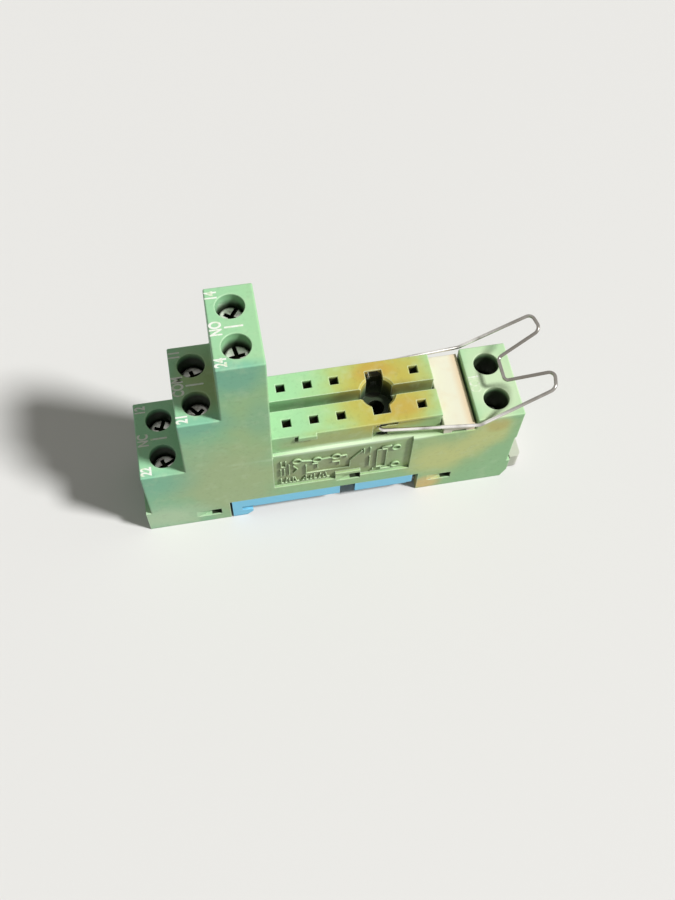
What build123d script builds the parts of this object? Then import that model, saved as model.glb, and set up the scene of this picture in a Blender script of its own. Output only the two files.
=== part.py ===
from build123d import *
import os

# Plug-in relay socket for a 35 mm mounting rail, in millimetres.
# Datum: middle of the rail, on the plane that the rail presses on.
# +X runs towards the coil end and +Z is up. Only one lug on the front wall isn't even about Y = 0.

# Rail and feet
RAIL_W = 35.0
RAIL_PLAY = 0.3
FLANGE_T = 1.0
FLANGE_PLAY = 0.2
FOOT_DROP = 3.4

# Housing lengths, outwards from the tower's relay face
TOWER_FACE_X = -10.9
TOWER_L = 8.2
MID_STEP_L = 7.7
LOW_STEP_L = 8.3
SEAT_L = 31.55
BAY_L = 6.6
BLOCK_L = 9.0
FOOT_LIP = 1.0
RISER_LEAN = 0.3

# Housing widths and heights above the rail seat
BODY_W = 16.0
SEAT_W = 13.4
TOWER_TOP = 49.9
MID_TOP = 34.7
LOW_TOP = 18.2
DECK_TOP = 18.2
SEAT_TOP = 23.4
BLOCK_TOP = 21.5
FOOT_LIP_TOP = 3.4
END_LIP = 0.2
END_RECESS = 0.3
END_RECESS_LOW = 3.0
END_RECESS_TOP = 12.5
FOOT_CHAMFER_L = 1.0
FOOT_CHAMFER_H = 2.6
EDGE_R = 0.3
SEAT_EDGE_R = 0.2

# Relay pin pattern
PIN_COLUMN_X = -7.7
PIN_PITCH = 5.0
COIL_PIN_OFFSET = 25.0
PIN_ROW_Y = 3.75
PIN_HOLE = 1.6
PIN_LEAD = 0.1

# Relay seat details
GROOVE_W = 2.1
GROOVE_DEPTH = 3.8
WELL_X = 9.8
FIXING_WELL_D = 6.2
FIXING_WELL_DEPTH = 5.6
FIXING_WELL_RIM = 0.4
FIXING_HOLE_D = 3.2
CROSS_POCKET_L = 3.2
CROSS_POCKET_REACH = 4.7
CROSS_POCKET_DEPTH = 5.6
ARM_RECESS_DEPTH = 0.5
ARM_RECESS_LEAD = 2.05
ARM_RECESS_LIP = 0.6
PIN_SLOT_L = 3.5
PIN_SLOT_RISE = 1.35
STOP_WINDOW_L = 3.0
STOP_WINDOW_H = 1.3
STOP_HOLE_L = 1.1
STOP_DEPTH = 0.8
SEAT_LUG_X = -4.35
SEAT_LUG_L = 3.4
SEAT_LUG_H = 1.1
SEAT_LUG_OUT = 0.6
LUG_SLOT_L = 0.6
LUG_SLOT_H = 1.6
LUG_SLOT_SINK = 0.5
LUG_SLOT_DEPTH = 0.9

# Side panel
PANEL_LEFT_X = -11.0
PANEL_L = 26.4
PANEL_LOW = 6.5
PANEL_H = 11.8
PANEL_DEPTH = 0.6

# Terminals
ROW_Y = 3.85
NC_INSET = 4.5
COM_INSET = 3.95
NO_INSET = 4.05
COIL_INSET = 4.6
HEAD_SINK = 3.7
NO_HEAD_SINK = 3.0
COIL_HEAD_SINK = 6.3
WELL_D = 4.8
WELL_RIM = 0.1
HEAD_D = 4.4
HEAD_H = 1.8
HEAD_EDGE_R = 0.45
SHANK_D = 3.0
SHANK_L = 5.0
DRIVE_SLOT_W = 0.7
DRIVE_SLOT_DEPTH = 0.8
DRIVE_CROSS_L = 2.6
DRIVE_TURN = {"nc_front": 25, "nc_back": 70, "com_front": 130, "com_back": 15,
              "no_front": 100, "no_back": 55, "coil_front": 40, "coil_back": 160}
CAGE_L = 4.4
CAGE_W = 5.6
CAGE_SIDE_T = 0.8
CAGE_TOP_T = 1.5
CAGE_FLOOR_T = 1.0
CAGE_LIFT = 1.75
WIRE_H = 3.2
WIRE_FUNNEL = 0.25
FUNNEL_DEPTH = 0.8

# Contact strips
STRIP_T = 0.8
STRIP_W = 3.0
STRIP_END = 0.3
COM_RUN_TOP = 10.6
NO_RUN_TOP = 14.6
COM_LEG_INSET = 2.95
NO_LEG_INSET = 1.15
FORK_W = 2.4
FORK_SLOT_W = 0.6
FORK_SLOT_DEPTH = 4.0
FORK_SINK = 3.0

# Rail base
BASE_T = 3.1
HOOK_LEG_T = 1.9
HOOK_REACH = 2.15
HOOK_NOSE = 1.3
SEAT_RELIEF = 0.2
FOOT_GAP = 0.4
LATCH_SLOT = 1.15
NOTCH_X = 3.4
NOTCH_L = 3.0
NOTCH_DEPTH = 1.6
ARM_W = 12.8
ARM_LOW = -1.2
ARM_TOP = 1.4
RIGHT_ARM_TOP = 2.0
ARM_L = 4.7
RIGHT_ARM_L = 7.5
TONGUE_L = 3.0
TONGUE_T = 1.2

# Snap windows: right end and middle height of each, from the left foot to the right one
SNAP_L = 4.9
SNAP_H = 2.2
SNAP_HOLE_L = 1.9
SNAP_RAMP = 0.9
SNAP_SINK = 1.25
SNAP_BOSS = 0.8
LEFT_SNAP = (-21.7, -0.05)
MIDDLE_SNAP = (5.75, 6.7)
RIGHT_SNAP = (24.5, 0.7)

# Rail latch
LATCH_T = 1.5
LATCH_W = 12.8
LATCH_GRIP = 2.0
LATCH_NOSE = 1.0
TAB_L = 2.3
TAB_GAP = 0.8
TAB_UP = 1.1
TAB_LOW = -3.1
TAB_SLOT_L = 0.8
TAB_SLOT_W = 5.0
TAB_CORNER_R = 1.0
GROOVE_LIP = 1.0

# Marker plate
PLATE_T = 1.5
PLATE_W = 15.7
PLATE_FOOT_H = 0.6
PLATE_FOOT_L = 1.6
PLATE_FOOT_W = 0.95
PLATE_EDGE_R = 0.25
PLATE_GAP = 0.35

# Retaining clip
WIRE_D = 0.65
PIVOT_X = 8.95
PIVOT_Z = 21.7
PIN_TIP_Y = 4.2
ARM_GAP = 0.55
ARM_REACH = 18.5
ARM_DROP = 0.7
ARM_SIDE_GAP = 0.35
OUTER_TIP_REACH = 31.2
INNER_TIP_REACH = 32.0
TIP_RISE = 7.8
OUTER_TIP_Y = 8.2
INNER_TIP_Y = 4.6
BAR_REACH = 24.05
BAR_RISE = 3.4
BAR_HALF_L = 2.5
BEND_R = 1.0
TIP_BEND_R = 1.4

# Clearances
PIECE_GAP = 0.1
RUN_GAP = 0.2
THREAD_GAP = 0.15
HEAD_PASS = 0.3
CAGE_BAR_GAP = 0.3
PIVOT_GAP = 0.08

# Places worked out from the driving sizes
HALF_W = BODY_W / 2
RISER_2_X = TOWER_FACE_X - TOWER_L
RISER_1_X = RISER_2_X - MID_STEP_L
LEFT_X = RISER_1_X - LOW_STEP_L
SEAT_END_X = TOWER_FACE_X + SEAT_L
BLOCK_X = SEAT_END_X + BAY_L
RIGHT_X = BLOCK_X + BLOCK_L
FOOT_END_X = RIGHT_X + END_LIP
TAB_X = FOOT_END_X + TAB_GAP
CHANNEL_HALF = (RAIL_W + RAIL_PLAY) / 2
HOOK_BACK_X = -CHANNEL_HALF - HOOK_LEG_T
LEFT_FOOT_END_X = HOOK_BACK_X - FOOT_GAP
BASE_END_X = CHANNEL_HALF - LATCH_SLOT
FLANGE_ROOM = FLANGE_T + FLANGE_PLAY
FLOOR_Z = -FOOT_DROP
LATCH_TOP = -FLANGE_ROOM
LATCH_LOW = LATCH_TOP - LATCH_T
LATCH_TIP_X = CHANNEL_HALF - LATCH_GRIP
CAVITY_HALF_W = ARM_W / 2 + PIECE_GAP
COIL_PIN_X = PIN_COLUMN_X + COIL_PIN_OFFSET
FORK_TOP = SEAT_TOP - FORK_SINK
PLATE_LOW = DECK_TOP + PLATE_FOOT_H
ROWS = {"front": -1, "back": 1}


def block(x0, x1, y0, y1, z0, z1):
    """Block between two corners."""
    centre = Pos((x0 + x1) / 2, (y0 + y1) / 2, (z0 + z1) / 2)
    return centre * Box(abs(x1 - x0), abs(y1 - y0), abs(z1 - z0))


def prism(points, width):
    """Outline in the XZ plane, extruded evenly to both sides of the middle plane."""
    outline = make_face(Polyline(*[(x, 0, z) for x, z in points], close=True))
    return extrude(outline, amount=width / 2, dir=(0, 1, 0), both=True)


def post(x, y, z0, z1, diameter):
    """Upright cylinder from z0 to z1."""
    return Pos(x, y, (z0 + z1) / 2) * Cylinder(diameter / 2, z1 - z0)


def rimmed_well(x, y, z0, z1, diameter, rim):
    """Round well with a chamfered mouth at z1."""
    mouth = Pos(x, y, z1 - rim / 2) * Cone(diameter / 2, diameter / 2 + rim, rim)
    return post(x, y, z0, z1, diameter) + mouth


def both_sides(piece):
    """Piece and its mirror image about the middle plane."""
    return piece + mirror(piece, about=Plane.XZ)


class Terminal:
    """Sizes and places that one terminal's screw, clamp, contact and pockets share."""

    def __init__(self, x, top, sink, away, pin_x, leg_x=None, run_top=None):
        self.x = x
        self.top = top
        self.head_top = top - sink
        self.head_low = self.head_top - HEAD_H
        self.bar_top = self.head_low - SHANK_L
        self.bar_low = self.bar_top - STRIP_T
        self.away = away
        self.pin_x = pin_x
        self.leg_x = leg_x
        self.run_top = self.bar_top if run_top is None else run_top
        self.cage_low = self.bar_low - WIRE_H - CAGE_FLOOR_T
        self.cage_top = self.bar_top + CAGE_BAR_GAP + CAGE_TOP_T


TERMINALS = {
    "nc": Terminal(LEFT_X + NC_INSET, LOW_TOP, HEAD_SINK, 1, PIN_COLUMN_X + 2 * PIN_PITCH),
    "com": Terminal(RISER_1_X + COM_INSET, MID_TOP, HEAD_SINK, 1, PIN_COLUMN_X + PIN_PITCH,
                    TOWER_FACE_X - COM_LEG_INSET, COM_RUN_TOP),
    "no": Terminal(RISER_2_X + NO_INSET, TOWER_TOP, NO_HEAD_SINK, 1, PIN_COLUMN_X,
                   TOWER_FACE_X - NO_LEG_INSET, NO_RUN_TOP),
    "coil": Terminal(RIGHT_X - COIL_INSET, BLOCK_TOP, COIL_HEAD_SINK, -1, COIL_PIN_X),
}


def screw(t, y, turn):
    """Terminal screw: pan head with a slot and a short cross, turned as it was left, and a plain shank."""
    head = post(t.x, y, t.head_low, t.head_top, HEAD_D)
    head = fillet(head.edges().group_by(Axis.Z)[-1], HEAD_EDGE_R)
    slot_low = t.head_top - DRIVE_SLOT_DEPTH
    half_slot = DRIVE_SLOT_W / 2
    half_cross = DRIVE_CROSS_L / 2
    drive = block(-HEAD_D, HEAD_D, -half_slot, half_slot, slot_low, t.top)
    drive += block(-half_slot, half_slot, -half_cross, half_cross, slot_low, t.top)
    head -= Pos(t.x, y, 0) * Rot(0, 0, turn) * drive
    return head + post(t.x, y, t.bar_top, t.head_low, SHANK_D)


def clamp(t, y):
    """Rising clamp cage: a square ring round the contact bar, threaded on the screw."""
    half_l = CAGE_L / 2
    half_w = CAGE_W / 2
    ring = block(t.x - half_l, t.x + half_l, y - half_w, y + half_w, t.cage_low, t.cage_top)
    inner = half_w - CAGE_SIDE_T
    ring -= block(t.x - CAGE_L, t.x + CAGE_L, y - inner, y + inner,
                  t.cage_low + CAGE_FLOOR_T, t.cage_top - CAGE_TOP_T)
    ring -= post(t.x, y, t.bar_top, t.cage_top + CAGE_TOP_T, SHANK_D + 2 * THREAD_GAP)
    return ring


def strip(t, y, grow=0.0):
    """Contact strip from the clamp to the fork, or its channel when grown by a gap."""
    half_w = STRIP_W / 2 + grow
    half_t = STRIP_T / 2 + grow
    start_x = t.x - t.away * (CAGE_L / 2 - STRIP_END + grow)
    run_low = t.run_top - STRIP_T
    turn_x = t.pin_x if t.leg_x is None else t.leg_x
    piece = block(start_x, turn_x + t.away * half_t, y - half_w, y + half_w,
                  t.bar_low - grow, t.bar_top + grow)
    if t.leg_x is not None:
        piece += block(t.leg_x - half_t, t.leg_x + half_t, y - half_w, y + half_w,
                       run_low - grow, t.bar_top + grow)
        piece += block(t.leg_x - t.away * half_t, t.pin_x + t.away * half_t, y - half_w, y + half_w,
                       run_low - grow, t.run_top + grow)
    pin_y = y / abs(y) * PIN_ROW_Y
    half_fork = FORK_W / 2 + grow
    piece += block(t.pin_x - half_t, t.pin_x + half_t, pin_y - half_fork, pin_y + half_fork,
                   run_low - grow, FORK_TOP + grow)
    return piece


def contact(t, y):
    """Contact strip with the slot of its fork, which grips the relay pin."""
    pin_y = y / abs(y) * PIN_ROW_Y
    slot = block(t.pin_x - STRIP_T, t.pin_x + STRIP_T, pin_y - FORK_SLOT_W / 2, pin_y + FORK_SLOT_W / 2,
                 FORK_TOP - FORK_SLOT_DEPTH, SEAT_TOP)
    return strip(t, y) - slot


def wire_entry(t, y, face_x):
    """Wire window under the contact bar, from the clamp to a funnel on the outside."""
    half_w = CAGE_W / 2 - CAGE_SIDE_T
    z_mid = t.bar_low - WIRE_H / 2
    window = block(t.x, face_x, y - half_w, y + half_w, t.bar_low - WIRE_H, t.bar_low)
    throat_x = face_x + t.away * FUNNEL_DEPTH
    mouth = Plane((face_x, y, z_mid), x_dir=(0, 1, 0), z_dir=(1, 0, 0))
    throat = Plane((throat_x, y, z_mid), x_dir=(0, 1, 0), z_dir=(1, 0, 0))
    funnel = loft([mouth * Rectangle(2 * (half_w + WIRE_FUNNEL), WIRE_H + 2 * WIRE_FUNNEL),
                   throat * Rectangle(2 * half_w, WIRE_H)])
    outside = block(face_x, face_x - t.away * FOOT_LIP, y - half_w - WIRE_FUNNEL, y + half_w + WIRE_FUNNEL,
                    z_mid - WIRE_H / 2 - WIRE_FUNNEL, z_mid + WIRE_H / 2 + WIRE_FUNNEL)
    return window + funnel + outside


def terminal_pockets(t, y, face_x):
    """Everything that one terminal takes out of the housing."""
    half_l = CAGE_L / 2 + RUN_GAP
    half_w = CAGE_W / 2 + RUN_GAP
    pocket = block(t.x - half_l, t.x + half_l, y - half_w, y + half_w,
                   t.cage_low - RUN_GAP, t.cage_top + CAGE_LIFT + RUN_GAP)
    pocket += rimmed_well(t.x, y, t.head_low, t.top, WELL_D, WELL_RIM)
    pocket += post(t.x, y, t.bar_top, t.head_low, SHANK_D + 2 * HEAD_PASS)
    pocket += strip(t, y, PIECE_GAP)
    return pocket + wire_entry(t, y, face_x)


def pin_hole(x, y):
    """Square relay pin hole with a small lead-in, down to the contact fork."""
    hole = block(x - PIN_HOLE / 2, x + PIN_HOLE / 2, y - PIN_HOLE / 2, y + PIN_HOLE / 2, FORK_TOP, SEAT_TOP)
    low = Plane((x, y, SEAT_TOP - PIN_LEAD)) * Rectangle(PIN_HOLE, PIN_HOLE)
    high = Plane((x, y, SEAT_TOP)) * Rectangle(PIN_HOLE + 2 * PIN_LEAD, PIN_HOLE + 2 * PIN_LEAD)
    return hole + loft([low, high])


def sunk_ramp(x0, x1, face_y, depth, z0, z1):
    """Wedge cut that sinks into a wall facing the front, from nothing at x0 to its depth at x1."""
    outline = Polyline((x0, face_y, z0), (x1, face_y, z0), (x1, face_y + depth, z0), close=True)
    return extrude(make_face(outline), amount=z1 - z0, dir=(0, 0, 1))


def snap_window(place):
    """Window in a side wall: a ramp that sinks towards the right, and a hole for the lug."""
    right_x, z_mid = place
    hole_x = right_x - SNAP_HOLE_L
    z0 = z_mid - SNAP_H / 2
    wedge = sunk_ramp(right_x - SNAP_L, hole_x, -HALF_W, SNAP_RAMP, z0, z0 + SNAP_H)
    hole = block(hole_x, right_x, -HALF_W, -CAVITY_HALF_W + PIECE_GAP, z0, z0 + SNAP_H)
    return both_sides(wedge + hole)


def snap_boss(place):
    """Part of the side wall round a window, level with the outer face, that the panel leaves standing."""
    right_x, z_mid = place
    boss = block(right_x - SNAP_L, right_x, -HALF_W, -HALF_W + PANEL_DEPTH,
                 PANEL_LOW, z_mid + SNAP_H / 2 + SNAP_BOSS)
    return both_sides(boss)


def snap_lug(place):
    """Lug of the rail base that sits in a snap window, short of the outer face."""
    right_x, z_mid = place
    half_h = SNAP_H / 2 - PIECE_GAP
    lug = block(right_x - SNAP_HOLE_L + PIECE_GAP, right_x - PIECE_GAP, -HALF_W + SNAP_SINK, -ARM_W / 2 + TONGUE_T,
                z_mid - half_h, z_mid + half_h)
    return both_sides(lug)


def tongue(grow=0.0):
    """Upright tongue of the rail base behind the middle window, or its slot when grown."""
    right_x, z_mid = MIDDLE_SNAP
    return block(right_x - TONGUE_L - grow, right_x + grow, -ARM_W / 2 - grow, -ARM_W / 2 + TONGUE_T + grow,
                 BASE_T, z_mid + SNAP_H / 2 + grow)


def housing_outline():
    """Side outline of the housing, from the left foot over the steps to the right foot."""
    lean = RISER_LEAN / 2
    return [
        (LEFT_X - FOOT_LIP, FLOOR_Z),
        (LEFT_X - FOOT_LIP, FOOT_LIP_TOP),
        (LEFT_X, FOOT_LIP_TOP),
        (LEFT_X, LOW_TOP),
        (RISER_1_X - lean, LOW_TOP),
        (RISER_1_X + lean, MID_TOP),
        (RISER_2_X - lean, MID_TOP),
        (RISER_2_X + lean, TOWER_TOP),
        (TOWER_FACE_X, TOWER_TOP),
        (TOWER_FACE_X, DECK_TOP),
        (BLOCK_X, DECK_TOP),
        (BLOCK_X, BLOCK_TOP),
        (RIGHT_X, BLOCK_TOP),
        (RIGHT_X, END_RECESS_TOP),
        (RIGHT_X - END_RECESS, END_RECESS_TOP - END_RECESS),
        (RIGHT_X - END_RECESS, END_RECESS_LOW),
        (FOOT_END_X, END_RECESS_LOW),
        (FOOT_END_X, FLOOR_Z + FOOT_CHAMFER_H),
        (FOOT_END_X - FOOT_CHAMFER_L, FLOOR_Z),
        (CHANNEL_HALF, FLOOR_Z),
        (CHANNEL_HALF, BASE_T),
        (LEFT_FOOT_END_X, BASE_T),
        (LEFT_FOOT_END_X, FLOOR_Z),
    ]


def relay_seat():
    """Raised relay seat, standing on the deck, with a lug and a slot beside it on its front wall."""
    seat = block(TOWER_FACE_X, SEAT_END_X, -SEAT_W / 2, SEAT_W / 2, DECK_TOP, SEAT_TOP)
    lug_left_x = SEAT_LUG_X - SEAT_LUG_L / 2
    seat += block(lug_left_x, lug_left_x + SEAT_LUG_L, -SEAT_W / 2 - SEAT_LUG_OUT, 0,
                  SEAT_TOP - SEAT_LUG_H, SEAT_TOP)
    seat = fillet(seat.edges().group_by(Axis.Z)[-1], SEAT_EDGE_R)
    slot_top = SEAT_TOP - LUG_SLOT_SINK
    slot = block(lug_left_x - LUG_SLOT_L, lug_left_x, -SEAT_W / 2, -SEAT_W / 2 + LUG_SLOT_DEPTH,
                 slot_top - LUG_SLOT_H, slot_top)
    return seat - slot


def seat_cuts():
    """Groove, fixing well, cross pocket, recesses and slots for the clip, and relay pin holes."""
    cuts = block(TOWER_FACE_X, SEAT_END_X + BAY_L / 2, -GROOVE_W / 2, GROOVE_W / 2,
                 SEAT_TOP - GROOVE_DEPTH, SEAT_TOP)
    cuts += rimmed_well(WELL_X, 0, SEAT_TOP - FIXING_WELL_DEPTH, SEAT_TOP, FIXING_WELL_D, FIXING_WELL_RIM)
    cuts += post(WELL_X, 0, BASE_T, SEAT_TOP, FIXING_HOLE_D)
    cuts += block(WELL_X - CROSS_POCKET_L / 2, WELL_X + CROSS_POCKET_L / 2, -CROSS_POCKET_REACH,
                  CROSS_POCKET_REACH, SEAT_TOP - CROSS_POCKET_DEPTH, SEAT_TOP)
    recess_x = WELL_X - ARM_RECESS_LEAD
    recess_y = -SEAT_W / 2 + ARM_RECESS_DEPTH
    recess = block(recess_x, SEAT_END_X, -SEAT_W / 2, recess_y, DECK_TOP, SEAT_TOP - ARM_RECESS_LIP)
    recess += sunk_ramp(recess_x, recess_x + STOP_WINDOW_L - STOP_HOLE_L, recess_y, STOP_DEPTH,
                        DECK_TOP, DECK_TOP + STOP_WINDOW_H)
    recess += block(recess_x + STOP_WINDOW_L - STOP_HOLE_L, recess_x + STOP_WINDOW_L, recess_y,
                    -CROSS_POCKET_REACH, DECK_TOP, DECK_TOP + STOP_WINDOW_H)
    bore_r = WIRE_D / 2 + PIVOT_GAP
    recess += block(PIVOT_X, PIVOT_X + PIN_SLOT_L, -SEAT_W / 2, -CROSS_POCKET_REACH,
                    PIVOT_Z - bore_r, PIVOT_Z + PIN_SLOT_RISE)
    cuts += both_sides(recess)
    cuts += Pos(PIVOT_X, 0, PIVOT_Z) * Rot(90, 0, 0) * Cylinder(bore_r, SEAT_W)
    for t in TERMINALS.values():
        cuts += both_sides(pin_hole(t.pin_x, -PIN_ROW_Y))
    return cuts


def foot_cuts():
    """Cavities of both feet: the rail base's arms, the latch's slideway and the snap windows."""
    left = block(LEFT_X, LEFT_FOOT_END_X, -CAVITY_HALF_W, CAVITY_HALF_W, FLOOR_Z, ARM_TOP)
    slide_half_w = LATCH_W / 2 + RUN_GAP
    slideway = block(CHANNEL_HALF, TAB_X, -slide_half_w, slide_half_w,
                     LATCH_LOW - RUN_GAP, LATCH_TOP + RUN_GAP)
    mouth_half_w = slide_half_w - GROOVE_LIP
    mouth = block(CHANNEL_HALF, TAB_X, -mouth_half_w, mouth_half_w, FLOOR_Z, LATCH_TOP)
    arm_end_x = BASE_END_X + LATCH_SLOT + RIGHT_ARM_L + PIECE_GAP
    arm_room = block(CHANNEL_HALF, arm_end_x, -CAVITY_HALF_W, CAVITY_HALF_W, LATCH_TOP, RIGHT_ARM_TOP)
    cuts = left + slideway + mouth + arm_room + both_sides(tongue(PIECE_GAP))
    for place in (LEFT_SNAP, MIDDLE_SNAP, RIGHT_SNAP):
        cuts += snap_window(place)
    return cuts


def make_housing():
    """Green housing: one moulding with every well, pocket and channel."""
    shell = prism(housing_outline(), BODY_W)
    rounded = [e for e in shell.edges() if e.center().Z > FOOT_LIP_TOP + EDGE_R]
    shell = fillet(rounded, EDGE_R)
    shell += relay_seat()
    panel = block(PANEL_LEFT_X, PANEL_LEFT_X + PANEL_L, -HALF_W, -HALF_W + PANEL_DEPTH,
                  PANEL_LOW, PANEL_LOW + PANEL_H)
    shell -= both_sides(panel) - snap_boss(MIDDLE_SNAP)
    shell -= seat_cuts()
    shell -= foot_cuts()
    faces = {"nc": LEFT_X, "com": RISER_1_X, "no": RISER_2_X, "coil": RIGHT_X - END_RECESS}
    for name, t in TERMINALS.items():
        for side in ROWS.values():
            shell -= terminal_pockets(t, side * ROW_Y, faces[name])
    return shell


def make_rail_base():
    """Blue rail base: seat plate, fixed hook, arms into both feet and snap lugs."""
    base = block(HOOK_BACK_X, BASE_END_X, -HALF_W, HALF_W, 0, BASE_T)
    nose_x = -CHANNEL_HALF + HOOK_REACH
    hook = [
        (HOOK_BACK_X, BASE_T),
        (HOOK_BACK_X, FLOOR_Z),
        (nose_x - HOOK_NOSE, FLOOR_Z),
        (nose_x, FLOOR_Z + HOOK_NOSE),
        (nose_x, -FLANGE_ROOM),
        (-CHANNEL_HALF, -FLANGE_ROOM),
        (-CHANNEL_HALF, BASE_T),
    ]
    base += prism(hook, BODY_W)
    base -= block(-CHANNEL_HALF, nose_x + SEAT_RELIEF, -HALF_W, HALF_W, -FLANGE_ROOM, SEAT_RELIEF)
    base -= block(LATCH_TIP_X - SEAT_RELIEF, BASE_END_X, -HALF_W, HALF_W, 0, SEAT_RELIEF)
    base += block(HOOK_BACK_X - ARM_L, HOOK_BACK_X, -ARM_W / 2, ARM_W / 2, ARM_LOW, ARM_TOP)
    base += block(BASE_END_X, CHANNEL_HALF + RIGHT_ARM_L, -ARM_W / 2, ARM_W / 2, 0, RIGHT_ARM_TOP)
    notch = block(NOTCH_X - NOTCH_L / 2, NOTCH_X + NOTCH_L / 2, -HALF_W, -HALF_W + NOTCH_DEPTH, 0, BASE_T)
    base -= both_sides(notch)
    base += both_sides(tongue())
    for place in (LEFT_SNAP, MIDDLE_SNAP, RIGHT_SNAP):
        base += snap_lug(place)
    return base - post(WELL_X, 0, 0, BASE_T, FIXING_HOLE_D)


def make_rail_latch():
    """Off-white rail latch: slider under the rail's flange, with a pull tab past the end."""
    outline = [
        (LATCH_TIP_X, LATCH_TOP),
        (LATCH_TIP_X + LATCH_NOSE, LATCH_LOW),
        (TAB_X, LATCH_LOW),
        (TAB_X, TAB_LOW),
        (TAB_X + TAB_L, TAB_LOW),
        (TAB_X + TAB_L, TAB_UP),
        (TAB_X, TAB_UP),
        (TAB_X, LATCH_TOP),
    ]
    latch = prism(outline, LATCH_W)
    tab_corners = latch.edges().filter_by(Axis.Z).group_by(Axis.X)[-1]
    latch = fillet(tab_corners, TAB_CORNER_R)
    slot_x = TAB_X + TAB_L / 2
    latch -= block(slot_x - TAB_SLOT_L / 2, slot_x + TAB_SLOT_L / 2, -TAB_SLOT_W / 2, TAB_SLOT_W / 2,
                   LATCH_TOP, TAB_UP)
    return latch


def make_marker_plate():
    """Cream marker plate on four corner feet, between the relay seat and the end block."""
    x0 = SEAT_END_X + PLATE_GAP
    x1 = BLOCK_X - PLATE_GAP
    half_w = PLATE_W / 2
    plate = block(x0, x1, -half_w, half_w, PLATE_LOW, PLATE_LOW + PLATE_T)
    plate = fillet(plate.edges().group_by(Axis.Z)[-1], PLATE_EDGE_R)
    for foot_x in (x0, x1 - PLATE_FOOT_L):
        foot = block(foot_x, foot_x + PLATE_FOOT_L, -half_w, -half_w + PLATE_FOOT_W, DECK_TOP, PLATE_LOW)
        plate += both_sides(foot)
    return plate


def make_retaining_clip():
    """Steel wire clip: pins, arms along the seat, finger loops and the bar that holds the relay."""
    arm_y = SEAT_W / 2 - ARM_RECESS_DEPTH + ARM_GAP + WIRE_D / 2
    side_y = HALF_W + ARM_SIDE_GAP + WIRE_D / 2
    half = [
        (PIVOT_X, -PIN_TIP_Y, PIVOT_Z),
        (PIVOT_X, -arm_y, PIVOT_Z),
        (PIVOT_X + ARM_REACH, -side_y, PIVOT_Z - ARM_DROP),
        (PIVOT_X + OUTER_TIP_REACH, -OUTER_TIP_Y, PIVOT_Z + TIP_RISE),
        (PIVOT_X + INNER_TIP_REACH, -INNER_TIP_Y, PIVOT_Z + TIP_RISE),
        (PIVOT_X + BAR_REACH, -BAR_HALF_L, PIVOT_Z + BAR_RISE),
    ]
    points = half + [(x, -y, z) for x, y, z in reversed(half)]
    bends = [BEND_R, BEND_R, TIP_BEND_R, TIP_BEND_R, BEND_R]
    path = FilletPolyline(*points, radius=bends + bends[::-1])
    section = Plane(origin=path @ 0, z_dir=path % 0) * Circle(WIRE_D / 2)
    return sweep(section, path=path)


os.makedirs("parts", exist_ok=True)
pieces = {
    "housing": make_housing(),
    "rail_base": make_rail_base(),
    "rail_latch": make_rail_latch(),
    "marker_plate": make_marker_plate(),
    "retaining_clip": make_retaining_clip(),
}
for name, t in TERMINALS.items():
    for row, side in ROWS.items():
        pieces[f"screw_{name}_{row}"] = screw(t, side * ROW_Y, DRIVE_TURN[f"{name}_{row}"])
        pieces[f"clamp_{name}_{row}"] = clamp(t, side * ROW_Y)
        pieces[f"contact_{name}_{row}"] = contact(t, side * ROW_Y)
for name, piece in pieces.items():
    export_step(piece, f"parts/{name}.step")
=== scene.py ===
import math
import bmesh
import bpy
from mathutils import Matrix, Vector


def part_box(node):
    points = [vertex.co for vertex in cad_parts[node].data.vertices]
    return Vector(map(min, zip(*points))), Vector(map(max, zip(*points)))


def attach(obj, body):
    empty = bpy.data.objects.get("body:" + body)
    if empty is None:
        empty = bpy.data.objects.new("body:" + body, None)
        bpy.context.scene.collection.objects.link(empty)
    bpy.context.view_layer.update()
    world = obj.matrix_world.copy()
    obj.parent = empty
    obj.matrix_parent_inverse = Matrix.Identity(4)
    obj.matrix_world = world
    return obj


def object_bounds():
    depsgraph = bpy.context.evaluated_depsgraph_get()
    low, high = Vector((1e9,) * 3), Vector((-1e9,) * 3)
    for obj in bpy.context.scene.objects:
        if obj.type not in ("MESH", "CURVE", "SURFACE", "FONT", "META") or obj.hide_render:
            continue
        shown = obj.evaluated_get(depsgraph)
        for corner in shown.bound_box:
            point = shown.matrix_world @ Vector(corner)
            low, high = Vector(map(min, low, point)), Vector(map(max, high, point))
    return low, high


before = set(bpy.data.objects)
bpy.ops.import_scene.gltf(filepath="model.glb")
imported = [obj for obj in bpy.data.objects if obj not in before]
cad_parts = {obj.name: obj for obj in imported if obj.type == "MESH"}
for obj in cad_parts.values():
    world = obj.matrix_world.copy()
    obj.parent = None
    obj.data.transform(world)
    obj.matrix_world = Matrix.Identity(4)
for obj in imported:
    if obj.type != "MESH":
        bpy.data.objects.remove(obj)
cad_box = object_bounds()

# Looks of a used plug-in relay socket: green moulding with heat stains, blue rail base, wire clip.
# Sizes below are in millimetres in the frame of the CAD, and are scaled to metres where they are used.

MM = 0.001
ALL_WAYS = (1.0, 1.0, 1.0)

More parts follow.
